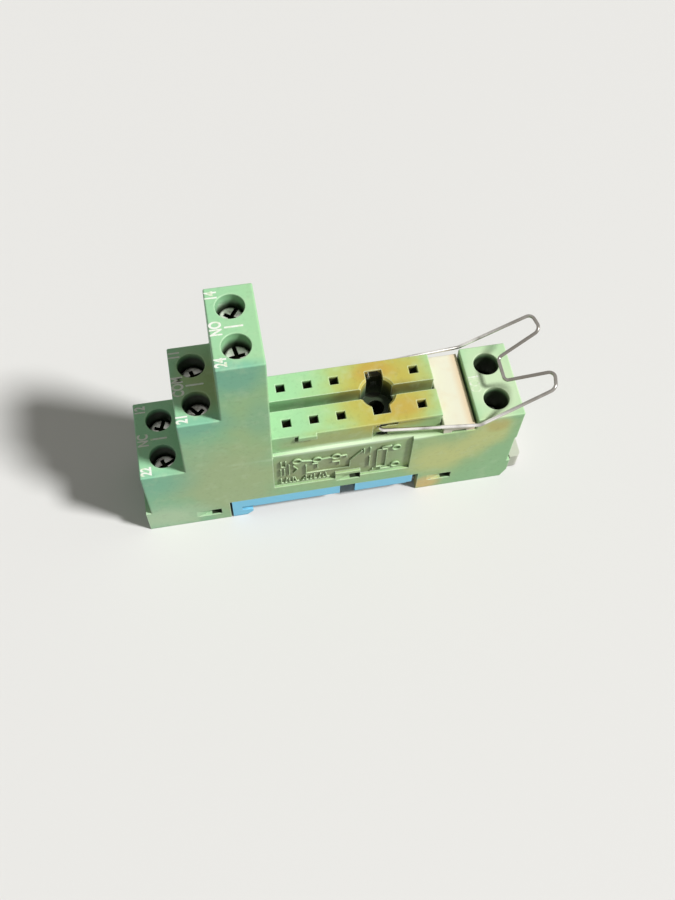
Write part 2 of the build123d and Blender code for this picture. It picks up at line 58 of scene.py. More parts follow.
# Camera and light
CAMERA_PLACE = (-18.26, -91.76, 178.30)
CAMERA_TURN = (28.21, -1.39, -10.36)
LENS_MM = 39.65
SENSOR_MM = 36.0
CLIP_START = 10.0
CLIP_END = 20000.0
KEY_PLACE = (400.0, -190.0, 470.0)
KEY_SPREAD_DEG = 9.0
KEY_POWER = 4.25
FILL_PLACE = (-60.0, -600.0, 190.0)
FILL_SIZE = 450.0
FILL_POWER = 0.25
WORLD_COLOUR = (1.0, 0.98, 0.91)
BACKDROP_COLOUR = (1.0, 0.995, 0.98)
AMBIENT = 0.23
BACKDROP = 0.85
FLOOR_SIZE = 4000.0
FLOOR_ROUGH = 0.8
FLOOR_COLOUR = (0.66, 0.655, 0.64)
FLOOR_BOUNCE = (0.25, 0.25, 0.24)

# Housing places that the marks, the diagram and the dark holes go by
LEFT_X = -35.1
RISER_1_X = -26.8
RISER_2_X = -19.1
BLOCK_X = 27.25
LOW_TOP = 18.2
MID_TOP = 34.7
TOWER_TOP = 49.9
BLOCK_TOP = 21.5
SEAT_TOP = 23.4
PANEL_FACE_Y = -7.4

# Colours
GREEN = (0.290, 0.530, 0.265)
TEAL = (0.240, 0.525, 0.310)
SEA = (0.165, 0.445, 0.320)
KHAKI = (0.395, 0.490, 0.245)
MINT = (0.450, 0.740, 0.440)
OLIVE = (0.375, 0.515, 0.230)
MOSS = (0.360, 0.400, 0.150)
LIME = (0.430, 0.490, 0.115)
YELLOW = (0.470, 0.400, 0.075)
AMBER = (0.490, 0.320, 0.060)
STRAW = (0.580, 0.620, 0.240)
UMBER = (0.200, 0.180, 0.055)
RECESS_KHAKI = (0.240, 0.260, 0.140)
BURNT_AND_SHADED_BROWN = (0.060, 0.050, 0.015)
SHADE = (0.100, 0.170, 0.080)
ORANGE = (0.720, 0.510, 0.190)
PALE = (0.560, 0.690, 0.450)
# Pale colour for worn edges, also used as painted highlight on edges and the ledge
WORN_AND_HIGHLIGHT = (0.640, 0.780, 0.560)
# Dark grime colour for specks, also used for painted shade in corners
GRIME_AND_SHADE = (0.030, 0.045, 0.025)
# Near black for painted shade in wells, holes, windows and screw slots
PAINTED_SHADE_BLACK = (0.012, 0.013, 0.007)
BLUE = (0.210, 0.630, 0.880)
BLUE_AGED = (0.250, 0.600, 0.820)
BLUE_PALE = (0.380, 0.700, 0.900)
CREAM = (0.720, 0.700, 0.560)
CREAM_AGED = (0.700, 0.540, 0.350)
OFF_WHITE = (0.490, 0.500, 0.420)
OFF_WHITE_AGED = (0.420, 0.420, 0.330)
PRINT_WHITE = (0.790, 0.800, 0.740)
STEEL = (0.880, 0.850, 0.800)
STEEL_DULL = (0.400, 0.370, 0.330)
WIRE_STEEL = (0.820, 0.800, 0.760)
WIRE_DULL = (0.200, 0.180, 0.155)
BRASS = (0.640, 0.450, 0.170)
BRASS_DULL = (0.330, 0.210, 0.090)

# Detail and middle value of the noise patterns, and samples of the edge and corner masks
COARSE_DETAIL = 2.0
MEDIUM_DETAIL = 3.0
FINE_DETAIL = 4.0
METAL_DETAIL = 5.0
CLOUD_MIDDLE = 0.5
MASK_SAMPLES = 4

# Levels that the masks run between: cosine at an edge, open share in a corner, and reach of a stain
EDGE_FLAT = 0.99
EDGE_SHARP = 0.80
CORNER_OPEN = 0.75
CORNER_TIGHT = 0.25
STAIN_OUTSIDE = 1.2
STAIN_INSIDE = 0.3


def metres(point):
    """Point in millimetres as a vector in metres."""
    return Vector(point) * MM


def node(tree, kind, inputs=None, **settings):
    """New shader node with its settings, and its inputs linked or given a value."""
    made = tree.nodes.new("ShaderNode" + kind)
    for key, value in settings.items():
        setattr(made, key, value)
    for key, value in (inputs or {}).items():
        if isinstance(value, bpy.types.NodeSocket):
            tree.links.new(value, made.inputs[key])
        else:
            made.inputs[key].default_value = value
    return made


def math_node(tree, operation, a, b):
    """Sum, product or other operation on two numbers."""
    return node(tree, "Math", {0: a, 1: b}, operation=operation).outputs[0]


def ramp(tree, value, low, high):
    """Smooth step from 0 at low to 1 at high, in either direction."""
    return node(tree, "MapRange", {"Value": value, "From Min": low, "From Max": high},
                interpolation_type="SMOOTHSTEP").outputs[0]


def mix(tree, factor, a, b):
    """Mix of two colours."""
    made = node(tree, "Mix", data_type="RGBA")
    for socket, value in ((made.inputs[0], factor), (made.inputs[6], a), (made.inputs[7], b)):
        if isinstance(value, bpy.types.NodeSocket):
            tree.links.new(value, socket)
        else:
            socket.default_value = value if socket.type == "VALUE" else (*value, 1.0)
    return made.outputs[2]


def noise(tree, place, grain_mm, detail=MEDIUM_DETAIL, stretch=ALL_WAYS):
    """Cloudy value from 0 to 1 with features of about that size."""
    scaled = node(tree, "VectorMath", {0: place, 1: stretch}, operation="MULTIPLY").outputs[0]
    inputs = {"Vector": scaled, "Scale": 1.0 / (grain_mm * MM), "Detail": detail}
    return node(tree, "TexNoise", inputs).outputs[0]


def uneven(tree, cloud, amount):
    """Cloudy value moved to lie round 0, which makes the edges of stains uneven."""
    return math_node(tree, "MULTIPLY", math_node(tree, "SUBTRACT", cloud, CLOUD_MIDDLE), amount)


def layer(tree, colour, over, mask, share):
    """Colour with another laid over it where a mask is 1, at a share of full strength."""
    return mix(tree, math_node(tree, "MULTIPLY", mask, share), colour, over)


def reach_from(tree, place, centre, reach):
    """Distance from a centre, which is 1 at the reach along each axis."""
    offset = node(tree, "VectorMath", {0: place, 1: centre}, operation="SUBTRACT").outputs[0]
    scaled = node(tree, "VectorMath", {0: offset, 1: reach}, operation="DIVIDE").outputs[0]
    return node(tree, "VectorMath", {0: scaled}, operation="LENGTH").outputs["Value"]


def start_material(name):
    """New node material: the material, its tree, its shader and the place on the object."""
    made = bpy.data.materials.new(name)
    made.use_nodes = True
    tree = made.node_tree
    return made, tree, tree.nodes["Principled BSDF"], node(tree, "TexCoord").outputs["Object"]


def edge_mask(tree, radius_mm):
    """1 along sharp edges and 0 on flat faces."""
    bevel = node(tree, "Bevel", {"Radius": radius_mm * MM}, samples=MASK_SAMPLES).outputs[0]
    flat = node(tree, "NewGeometry").outputs["Normal"]
    along = node(tree, "VectorMath", {0: bevel, 1: flat}, operation="DOT_PRODUCT").outputs["Value"]
    return ramp(tree, along, EDGE_FLAT, EDGE_SHARP)


def corner_mask(tree, reach_mm):
    """1 in tight corners and 0 in the open."""
    around = node(tree, "AmbientOcclusion", {"Distance": reach_mm * MM}, samples=MASK_SAMPLES)
    return ramp(tree, around.outputs["AO"], CORNER_OPEN, CORNER_TIGHT)


# Strength of the moulded texture
MOULDED_STRENGTH = 0.6


def moulded_bump(tree, shader, place, grain_mm, depth_mm, edge_mm):
    """Fine moulded texture over edges that the light sees as slightly rounded."""
    rounded = node(tree, "Bevel", {"Radius": edge_mm * MM}, samples=MASK_SAMPLES).outputs[0]
    height = noise(tree, place, grain_mm, COARSE_DETAIL)
    inputs = {"Height": height, "Distance": depth_mm * MM, "Strength": MOULDED_STRENGTH, "Normal": rounded}
    tree.links.new(node(tree, "Bump", inputs).outputs[0], shader.inputs["Normal"])


def vary_roughness(tree, shader, value, low, high):
    """Roughness between two levels, following a value from 0 to 1."""
    spread = node(tree, "MapRange", {"Value": value, "To Min": low, "To Max": high}).outputs[0]
    tree.links.new(spread, shader.inputs["Roughness"])


# Heat stains, dirt and some painted shade on the housing: centre, reach along each axis, strength and colour
STAINS_AND_SHADE = (
    ((-19.0, -8.0, 12.0), (14.0, 2.0, 19.0), 0.85, KHAKI),
    ((-14.0, -8.0, 34.0), (7.0, 2.0, 15.0), 0.50, OLIVE),
    ((-32.0, -8.0, 1.0), (9.0, 3.0, 6.0), 0.65, PALE),
    ((-16.5, -8.0, 48.5), (7.0, 2.0, 7.5), 0.75, SEA),
    ((-12.5, -8.0, 34.0), (3.0, 2.0, 8.0), 0.35, SEA),
    ((-23.5, -8.0, 34.5), (8.0, 2.0, 5.0), 0.60, SEA),
    ((-32.0, -8.0, 16.0), (8.0, 2.0, 7.0), 0.45, SEA),
    ((2.0, -8.0, 11.0), (17.0, 2.0, 9.0), 0.80, OLIVE),
    # The recessed panel floor made darker and khaki
    ((2.0, -7.3, 11.6), (22.0, 0.45, 10.0), 0.75, RECESS_KHAKI),
    ((3.0, -6.7, 20.5), (11.0, 1.2, 3.5), 0.80, OLIVE),
    ((6.0, -6.7, 20.5), (20.0, 1.2, 4.0), 0.75, MOSS),
    ((22.0, -8.0, 11.0), (12.0, 3.0, 13.0), 0.80, OLIVE),
    ((21.0, -8.0, 8.5), (6.5, 3.0, 8.0), 0.85, STRAW),
    ((26.5, -8.0, 11.5), (5.5, 3.0, 6.0), 0.80, STRAW),
    ((31.0, -8.0, 16.0), (5.5, 3.0, 6.5), 0.85, STRAW),
    ((31.5, -8.0, 18.5), (2.6, 3.0, 2.6), 0.40, AMBER),
    ((36.0, -8.0, 12.0), (2.6, 3.0, 12.0), 0.70, GREEN),
    ((29.0, -8.0, 1.0), (8.0, 3.0, 4.5), 0.60, GREEN),
    ((19.0, -8.0, -1.2), (3.6, 3.0, 3.4), 0.90, ORANGE),
    ((10.0, 0.0, 23.4), (14.0, 20.0, 3.4), 0.85, LIME),
    ((11.0, 0.0, 23.4), (10.5, 18.0, 3.4), 0.95, YELLOW),
    ((9.5, 4.6, 23.4), (5.0, 2.4, 2.0), 0.75, AMBER),
    ((14.0, -3.8, 23.4), (4.5, 2.4, 2.0), 0.60, AMBER),
    ((16.5, 0.4, 21.0), (9.0, 2.0, 3.0), 0.95, UMBER),
    ((4.0, 0.4, 21.0), (5.0, 2.0, 3.0), 0.85, UMBER),
    # Painted shade, partly dirt, in the groove along the seat
    ((-4.0, 0.3, 21.0), (12.0, 1.5, 2.2), 0.55, SHADE),
    # Brown heat mark and painted shade inside the fixing well
    ((10.6, 0.0, 20.0), (3.9, 6.0, 2.9), 0.92, BURNT_AND_SHADED_BROWN),
    # Painted shade: the mid step's top made darker and browner where the tower's shadow falls
    ((-21.5, 1.0, 34.7), (5.0, 7.0, 1.5), 0.65, MOSS),
    ((-20.0, 8.0, 14.0), (11.0, 2.5, 14.0), 0.45, OLIVE),
    ((8.0, 8.0, 11.0), (14.0, 2.5, 8.0), 0.50, OLIVE),
    ((29.0, 8.0, 12.0), (7.0, 2.5, 8.0), 0.50, STRAW),
)

# Paler ledge over the panel and end block: partly dust, partly painted highlight on these lit tops, laid out
# as the stains are
DUST_AND_HIGHLIGHT = (
    ((2.0, -7.6, 18.3), (19.0, 1.6, 1.0), 0.95, WORN_AND_HIGHLIGHT),
    ((31.7, 0.0, 21.5), (7.5, 12.0, 1.0), 0.85, PALE),
)

# Wells and holes painted dark inside as painted shade: place along X and away from the middle, radius, and
# where the fade starts and ends
SHADE_PAINTED_HOLES = (
    (-30.60, 3.85, 2.65, LOW_TOP, LOW_TOP - 1.8),
    (-22.85, 3.85, 2.65, MID_TOP, MID_TOP - 1.8),
    (-15.05, 3.85, 2.65, TOWER_TOP - 0.9, TOWER_TOP - 2.9),
    (31.65, 3.85, 2.65, BLOCK_TOP, BLOCK_TOP - 1.8),
    (-7.70, 3.75, 1.25, SEAT_TOP, SEAT_TOP - 0.8),
    (-2.70, 3.75, 1.25, SEAT_TOP, SEAT_TOP - 0.8),
    (2.30, 3.75, 1.25, SEAT_TOP, SEAT_TOP - 0.8),
    (17.30, 3.75, 1.25, SEAT_TOP, SEAT_TOP - 1.2),
    (9.80, 0.00, 1.80, 17.75, 17.55),
    (9.80, 0.00, 3.40, SEAT_TOP, SEAT_TOP - 5.0),
    (9.80, 4.20, 2.00, SEAT_TOP, SEAT_TOP - 1.4),
)
# Snap windows and the notch of the base, painted dark inside as painted shade: lowest and highest corners, Y
# counted from the middle
SHADE_PAINTED_WINDOWS = (
    ((-23.65, 6.0, -1.25), (-21.60, 7.75, 1.15)),
    ((3.80, 6.0, 5.50), (5.85, 7.75, 7.90)),
    ((22.55, 6.0, -0.50), (24.60, 7.75, 1.90)),
)
SHADE_PAINTED_NOTCH = (((1.85, 6.0, -0.30), (4.95, 7.85, 3.40)),)
HOLE_EDGE = 0.08
HOLE_SHADE_SHARE = 0.93


def stained(tree, place, colour, stains, warp):
    """Colour with a soft patch of another colour round each stain's centre."""
    for centre, reach, strength, stain in stains:
        distance = reach_from(tree, place, metres(centre), metres(reach))
        inside = ramp(tree, math_node(tree, "ADD", distance, warp), STAIN_OUTSIDE, STAIN_INSIDE)
        colour = layer(tree, colour, stain, inside, strength)
    return colour


def paint_hole_shade(tree, place, colour, holes):
    """Colour that turns dark down the walls of wells and holes, which come in rows on both sides: painted
    shade.
    """
    x, y, z = node(tree, "SeparateXYZ", {0: place}).outputs
    away = node(tree, "Math", {0: y}, operation="ABSOLUTE").outputs[0]
    flat = node(tree, "CombineXYZ", {0: x, 1: away}).outputs[0]
    for hole_x, hole_y, radius, top, bottom in holes:
        centre = metres((hole_x, hole_y, 0.0))
        distance = node(tree, "VectorMath", {0: flat, 1: centre}, operation="DISTANCE").outputs["Value"]
        inside = ramp(tree, distance, radius * MM, (radius - HOLE_EDGE) * MM)
        below = ramp(tree, z, (top - HOLE_EDGE) * MM, bottom * MM)
        colour = layer(tree, colour, PAINTED_SHADE_BLACK, math_node(tree, "MULTIPLY", inside, below), HOLE_SHADE_SHARE)
    return colour


def paint_box_shade(tree, place, colour, boxes):
    """Colour that turns dark inside boxes, which come on both sides of the middle: painted shade."""
    x, y, z = node(tree, "SeparateXYZ", {0: place}).outputs
    away = node(tree, "Math", {0: y}, operation="ABSOLUTE").outputs[0]
    even = node(tree, "CombineXYZ", {0: x, 1: away, 2: z}).outputs[0]
    for low, high in boxes:
        middle = (metres(low) + metres(high)) / 2
        half = (metres(high) - metres(low)) / 2
        offset = node(tree, "VectorMath", {0: even, 1: middle}, operation="SUBTRACT").outputs[0]
        apart = node(tree, "VectorMath", {0: offset}, operation="ABSOLUTE").outputs[0]
        past = node(tree, "VectorMath", {0: apart, 1: half}, operation="SUBTRACT").outputs[0]
        past_x, past_y, past_z = node(tree, "SeparateXYZ", {0: past}).outputs
        furthest = math_node(tree, "MAXIMUM", math_node(tree, "MAXIMUM", past_x, past_y), past_z)
        inside = ramp(tree, furthest, HOLE_EDGE * MM, -HOLE_EDGE * MM)
        colour = layer(tree, colour, PAINTED_SHADE_BLACK, inside, HOLE_SHADE_SHARE)
    return colour


# Green moulding: sizes of its patterns in millimetres, levels that they run between, and share of each layer
HUE_CLOUD = 9.0
HUE_SHIFT = 14.0
TEAL_END_X = -24.0
GREEN_START_X = 2.0
UPWARD_FROM = 0.6
UPWARD_TO = 0.95
TOP_LIGHT_SHARE = 0.30
STAIN_CLOUD = 7.0
STAIN_WARP = 0.9
MOTTLE = 2.2
MOTTLE_FROM = 0.50
MOTTLE_TO = 0.75
MOTTLE_SHARE = 0.20
SPECKLE = 0.7
SPECKLE_FROM = 0.52
SPECKLE_TO = 0.75
SPECKLE_SHARE = 0.10
WORN_HIGHLIGHT_EDGE = 0.35
WORN_HIGHLIGHT_SHARE = 0.80
WIDE_CORNER_SHADE = 0.9
WIDE_CORNER_SHADE_SHARE = 0.35
TIGHT_CORNER_SHADE = 0.3
TIGHT_CORNER_SHADE_SHARE = 0.60
GREEN_SPECULAR = 0.35
GREEN_ROUGH = (0.36, 0.54)
GREEN_GRAIN = 0.35
GREEN_DEPTH = 0.02
ROUNDED_EDGE = 0.15


def green_plastic():
    """Green moulding: teal to leaf green along its length, with heat stains, grime specks, pale edges that
    are partly painted highlight, paler tops as painted light, and painted shade in corners, wells and
    windows.
    """
    made, tree, shader, place = start_material("housing_green_moulding")
    cloud = noise(tree, place, HUE_CLOUD)
    along = node(tree, "SeparateXYZ", {0: place}).outputs[0]
    shifted = math_node(tree, "ADD", along, math_node(tree, "MULTIPLY", cloud, HUE_SHIFT * MM))
    colour = mix(tree, ramp(tree, shifted, TEAL_END_X * MM, GREEN_START_X * MM), TEAL, GREEN)
    # Painted light: faces that look up are made paler, as lit tops
    upward = node(tree, "SeparateXYZ", {0: node(tree, "NewGeometry").outputs["Normal"]}).outputs[2]
    colour = layer(tree, colour, MINT, ramp(tree, upward, UPWARD_FROM, UPWARD_TO), TOP_LIGHT_SHARE)
    warp = uneven(tree, noise(tree, place, STAIN_CLOUD, FINE_DETAIL), STAIN_WARP)
    colour = stained(tree, place, colour, STAINS_AND_SHADE, warp)
    mottle = ramp(tree, noise(tree, place, MOTTLE, FINE_DETAIL), MOTTLE_FROM, MOTTLE_TO)
    colour = layer(tree, colour, PALE, mottle, MOTTLE_SHARE)
    speckle = ramp(tree, noise(tree, place, SPECKLE), SPECKLE_FROM, SPECKLE_TO)
    colour = layer(tree, colour, GRIME_AND_SHADE, speckle, SPECKLE_SHARE)
    # Paler edges: partly wear, partly painted highlight
    colour = layer(tree, colour, WORN_AND_HIGHLIGHT, edge_mask(tree, WORN_HIGHLIGHT_EDGE), WORN_HIGHLIGHT_SHARE)
    # Painted shade: corners and creases darkened by an occlusion mask, wide and tight
    colour = layer(tree, colour, GRIME_AND_SHADE, corner_mask(tree, WIDE_CORNER_SHADE), WIDE_CORNER_SHADE_SHARE)
    colour = layer(tree, colour, GRIME_AND_SHADE, corner_mask(tree, TIGHT_CORNER_SHADE), TIGHT_CORNER_SHADE_SHARE)
    colour = stained(tree, place, colour, DUST_AND_HIGHLIGHT, warp)
    colour = paint_hole_shade(tree, place, colour, SHADE_PAINTED_HOLES)
    colour = paint_box_shade(tree, place, colour, SHADE_PAINTED_WINDOWS)
    tree.links.new(colour, shader.inputs["Base Color"])
    shader.inputs["Specular IOR Level"].default_value = GREEN_SPECULAR
    vary_roughness(tree, shader, cloud, *GREEN_ROUGH)
    moulded_bump(tree, shader, place, GREEN_GRAIN, GREEN_DEPTH, ROUNDED_EDGE)
    return made


# Plain plastics: levels of the aged patches, sizes in millimetres and share of each layer
AGED_FROM = 0.45
AGED_TO = 0.75
AGED_SHARE = 0.5
PLAIN_WARP = 0.6
PLAIN_EDGE = 0.3
PLAIN_EDGE_SHARE = 0.5
PLAIN_CORNER_SHADE = 1.6
PLAIN_ROUGH = (0.36, 0.50)
PLAIN_GRAIN = 0.4
PLAIN_DEPTH = 0.015


def plain_plastic(name, colour, aged, edge, patch_mm, corner_shade=0.7, stains=(), boxes=()):
    """Plastic of one colour that has aged in patches, with paler edges that are partly wear and partly
    painted highlight, and painted shade in its corners.
    """
    made, tree, shader, place = start_material(name)
    cloud = noise(tree, place, patch_mm, FINE_DETAIL)
    shade = layer(tree, colour, aged, ramp(tree, cloud, AGED_FROM, AGED_TO), AGED_SHARE)
    shade = stained(tree, place, shade, stains, uneven(tree, cloud, PLAIN_WARP))
    # Paler edges: partly wear, partly painted highlight
    shade = layer(tree, shade, edge, edge_mask(tree, PLAIN_EDGE), PLAIN_EDGE_SHARE)
    # Painted shade in the corners
    shade = layer(tree, shade, GRIME_AND_SHADE, corner_mask(tree, PLAIN_CORNER_SHADE), corner_shade)
    shade = paint_box_shade(tree, place, shade, boxes)
    tree.links.new(shade, shader.inputs["Base Color"])
    vary_roughness(tree, shader, cloud, *PLAIN_ROUGH)
    moulded_bump(tree, shader, place, PLAIN_GRAIN, PLAIN_DEPTH, ROUNDED_EDGE)
    return made


# Metals: size of the drawing marks and reach of the painted corner shade in millimetres, and strength of the
# marks
DRAWN_GRAIN = 0.25
DRAWN_STRENGTH = 0.4
METAL_CORNER_SHADE = 0.8
# Painted shade in the drive slots of the screws: depth of the patch's middle under the head's top, its reach
# and its levels
SLOT_SHADE_AT = 0.75
SLOT_SHADE_REACH = (3.0, 3.0, 0.6)
SLOT_OUTSIDE = 1.1
SLOT_INSIDE = 0.8


def metal(name, bright, dull, patch_mm, rough, stretch, corner_shade, stains=(), slot_shade_boxes=(), dent_mm=0.01):
    """Drawn or plated metal with dull patches, fine marks along one direction, and painted shade in its
    corners and drive slots.
    """
    made, tree, shader, place = start_material(name)
    tarnish = noise(tree, place, patch_mm, METAL_DETAIL)
    drawn = noise(tree, place, DRAWN_GRAIN, COARSE_DETAIL, stretch)
    colour = mix(tree, ramp(tree, tarnish, AGED_FROM, AGED_TO), bright, dull)
    colour = stained(tree, place, colour, stains, uneven(tree, tarnish, PLAIN_WARP))
    # Painted shade in the corners
    colour = layer(tree, colour, GRIME_AND_SHADE, corner_mask(tree, METAL_CORNER_SHADE), corner_shade)
    # Painted shade in the drive slots of the screw heads
    for low, high in slot_shade_boxes:
        middle = ((low[0] + high[0]) / 2, (low[1] + high[1]) / 2, high[2] - SLOT_SHADE_AT * MM)
        distance = reach_from(tree, place, middle, metres(SLOT_SHADE_REACH))
        colour = mix(tree, ramp(tree, distance, SLOT_OUTSIDE, SLOT_INSIDE), colour, PAINTED_SHADE_BLACK)
    tree.links.new(colour, shader.inputs["Base Color"])
    shader.inputs["Metallic"].default_value = 1.0
    vary_roughness(tree, shader, tarnish, *rough)
    inputs = {"Height": drawn, "Distance": dent_mm * MM, "Strength": DRAWN_STRENGTH}
    tree.links.new(node(tree, "Bump", inputs).outputs[0], shader.inputs["Normal"])
    return made


# Printing ink: size of the worn patches and roughness
INK_GRAIN = 0.9
INK_ROUGH = 0.55


def print_ink(name, least, most):
    """White printing that has worn thin in places, between two levels of a cloudy value."""
    made, tree, shader, place = start_material(name)
    worn = ramp(tree, noise(tree, place, INK_GRAIN, FINE_DETAIL), least, most)
    tree.links.new(mix(tree, worn, PRINT_WHITE, PALE), shader.inputs["Base Color"])
    shader.inputs["Roughness"].default_value = INK_ROUGH
    return made


def add_object(name, mesh, material, body):
    """New piece of the object that rides on a CAD body."""
    piece = bpy.data.objects.new(name, mesh)
    bpy.context.scene.collection.objects.link(piece)
    mesh.materials.clear()
    mesh.materials.append(material)
    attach(piece, body)
    return piece


def curve_to_mesh(curve, place, turn, width=1.0):
    """Mesh of a curve or text, narrowed along its own X, at a place and turn in the frame of the CAD."""
    holder = bpy.data.objects.new("holder", curve)
    bpy.context.scene.collection.objects.link(holder)
    holder.location = place
    holder.rotation_euler = turn
    holder.scale = (width, 1.0, 1.0)
    bpy.context.view_layer.update()
    shown = holder.evaluated_get(bpy.context.evaluated_depsgraph_get())
    mesh = bpy.data.meshes.new_from_object(shown)
    mesh.transform(holder.matrix_world)
    bpy.data.objects.remove(holder)
    bpy.data.curves.remove(curve)
    return mesh


def joined(name, meshes):
    """One mesh out of several."""
    whole = bmesh.new()
    for mesh in meshes:
        whole.from_mesh(mesh)
        bpy.data.meshes.remove(mesh)
    made = bpy.data.meshes.new(name)
    whole.to_mesh(made)
    whole.free()
    return made


# Printed terminal marks: sizes and places, then for each step its name, left edge and height, and its letters
# from the back to the front
MARK_HEIGHT = 1.9
MARK_WIDTH = 0.66
MARK_LIFT = 0.01
MARK_FACE = 0.01
MARK_BOLD = 0.09
MARK_FOOT = 2.15
MARK_BACK_Y = 6.3
MARK_MIDDLE_Y = -0.15
MARK_FRONT_Y = -6.6
FONT_PER_CAP = 1.4
DASH_L = 3.1
DASH_W = 0.34
DASH_FOOT = 2.6
DASH_STEPS = 8
STEP_MARKS = (
    ("low", LEFT_X, LOW_TOP, "12", "NC", "22"),
    ("mid", RISER_1_X, MID_TOP, "11", "COM", "21"),
    ("tower", RISER_2_X, TOWER_TOP, "14", "NO", "24"),
)


def letters(text, x, y, z):
    """Mesh of letters lying on a top face, read along +Y."""
    curve = bpy.data.curves.new("letters", "FONT")
    curve.body = text
    curve.size = FONT_PER_CAP * MARK_HEIGHT * MM
    curve.align_x = "CENTER"
    curve.extrude = MARK_FACE * MM
    curve.offset = MARK_BOLD * MM
    return curve_to_mesh(curve, metres((x, y, z + MARK_LIFT)), (0, 0, math.pi / 2), MARK_WIDTH)


def add_spline(curve, points, closed):
    """Straight runs through points in millimetres."""
    spline = curve.splines.new("POLY")
    spline.points.add(len(points) - 1)
    for target, point in zip(spline.points, points):
        target.co = (*metres(point), 1.0)
    spline.use_cyclic_u = closed


def dash(x, y, z):
    """Mesh of a short printed line along X with round ends, lying on a top face."""
    curve = bpy.data.curves.new("dash", "CURVE")
    curve.dimensions = "2D"
    curve.fill_mode = "BOTH"
    curve.extrude = MARK_FACE * MM
    half_l, half_w = DASH_L / 2 - DASH_W / 2, DASH_W / 2
    points = []
    for side in (1, -1):
        for i in range(DASH_STEPS + 1):
            turn = math.pi * (i / DASH_STEPS - 0.5)
            points.append((side * (half_l + half_w * math.cos(turn)), side * half_w * math.sin(turn), 0.0))
    add_spline(curve, points, True)
    return curve_to_mesh(curve, metres((x + DASH_L / 2, y, z + MARK_LIFT)), (0, 0, 0))


# Generic contact and coil diagram moulded on the front panel: lines and rings as places along X and Z
DIAGRAM_LINES = (
    ((-4.8, 13.4), (-4.8, 10.2), (3.6, 10.2), (3.6, 12.8), (5.8, 16.0)),
    ((6.2, 16.4), (6.2, 14.8)),
    ((-5.6, 15.3), (-3.6, 14.9)),
    ((-1.8, 14.9), (0.0, 15.1)),
    ((1.8, 15.1), (2.9, 15.2), (2.9, 14.2)),
    ((-9.5, 15.9), (-9.5, 14.0), (-8.6, 14.0), (-8.6, 15.9)),
    ((-8.0, 14.6), (-8.0, 10.4)),
    ((-7.2, 13.8), (-6.4, 12.4), (-7.2, 11.0)),
    ((-9.6, 13.0), (-9.6, 10.4)),
    ((-8.9, 13.0), (-8.9, 10.4)),
    ((-3.6, 13.6), (-2.6, 13.6), (-2.6, 11.6)),
    ((0.2, 13.2), (1.6, 13.2), (1.6, 11.8)),
    ((7.4, 13.2), (7.4, 9.2)),
    ((8.2, 8.0), (8.2, 7.2)),
    ((7.4, 16.6), (7.4, 14.6)),
    ((9.7, 15.2), (9.7, 16.1), (11.5, 16.1)),
    ((9.7, 8.4), (9.7, 7.4), (11.6, 7.4)),
)
DIAGRAM_RINGS = ((-6.5, 15.4), (-2.7, 14.9), (0.9, 15.1), (12.4, 15.2), (12.6, 8.4))
RING_R = 0.8
RING_STEPS = 24
COIL_BOX = ((8.8, 8.4), (10.6, 8.4), (10.6, 15.2), (8.8, 15.2))
RELIEF_R = 0.12
RELIEF_RISE = 0.25
RELIEF_STEPS = 2
# Row of short moulded strokes under the diagram: start along X, and height and lean of each
ROW_LOW = 7.5
ROW_STROKES = (
    (-9.6, 1.7, 0.0), (-8.9, 1.7, 0.4), (-8.0, 1.2, 0.0), (-7.3, 1.7, 0.0),
    (-6.6, 1.7, -0.4), (-5.6, 1.0, 0.5), (-4.8, 1.7, 0.0), (-4.1, 1.3, 0.3),
    (-3.2, 1.7, 0.0), (-2.4, 1.7, 0.4), (-1.5, 1.1, 0.0), (-0.7, 1.7, -0.3),
)
ROW_FOOT = 0.45


def panel_diagram(material):
    """Raised contact and coil diagram on the front panel."""
    curve = bpy.data.curves.new("panel_diagram", "CURVE")
    curve.dimensions = "3D"
    curve.twist_mode = "Z_UP"
    curve.bevel_depth = RELIEF_R * MM
    curve.extrude = RELIEF_RISE * MM
    curve.bevel_resolution = RELIEF_STEPS
    curve.use_fill_caps = True
    for line in DIAGRAM_LINES:
        add_spline(curve, [(x, z, 0.0) for x, z in line], False)
    for x, height, lean in ROW_STROKES:
        points = [(x + ROW_FOOT, ROW_LOW, 0.0), (x, ROW_LOW, 0.0), (x + lean, ROW_LOW + height, 0.0)]
        add_spline(curve, points, False)
    add_spline(curve, [(x, z, 0.0) for x, z in COIL_BOX], True)
    turns = [2 * math.pi * i / RING_STEPS for i in range(RING_STEPS)]
    for x, z in DIAGRAM_RINGS:
        add_spline(curve, [(x + RING_R * math.cos(a), z + RING_R * math.sin(a), 0.0) for a in turns], True)
    mesh = curve_to_mesh(curve, metres((0, PANEL_FACE_Y, 0)), (math.pi / 2, 0, 0))
    return add_object("panel_diagram", mesh, material, "housing")


def paint(prefix, material):
    """Gives one material to every CAD node whose name starts with a prefix."""
    for name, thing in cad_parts.items():
        if name.startswith(prefix):
            thing.data.materials.clear()
            thing.data.materials.append(material)


def seen_mask(tree):
    """1 for rays that show the background, also in mirrors or glass, and 0 for light on the object."""
    path = node(tree, "LightPath").outputs
    shiny = math_node(tree, "MAXIMUM", path["Is Glossy Ray"], path["Is Transmission Ray"])
    return math_node(tree, "MAXIMUM", path["Is Camera Ray"], shiny)


def aimed_light(name, kind, place, power):
    """Lamp at a place that faces the object."""
    lamp = bpy.data.lights.new(name, kind)
    lamp.energy = power
    holder = bpy.data.objects.new(name, lamp)
    bpy.context.scene.collection.objects.link(holder)
    holder.location = metres(place)
    holder.rotation_euler = (-holder.location).to_track_quat("-Z", "Y").to_euler()
    return lamp


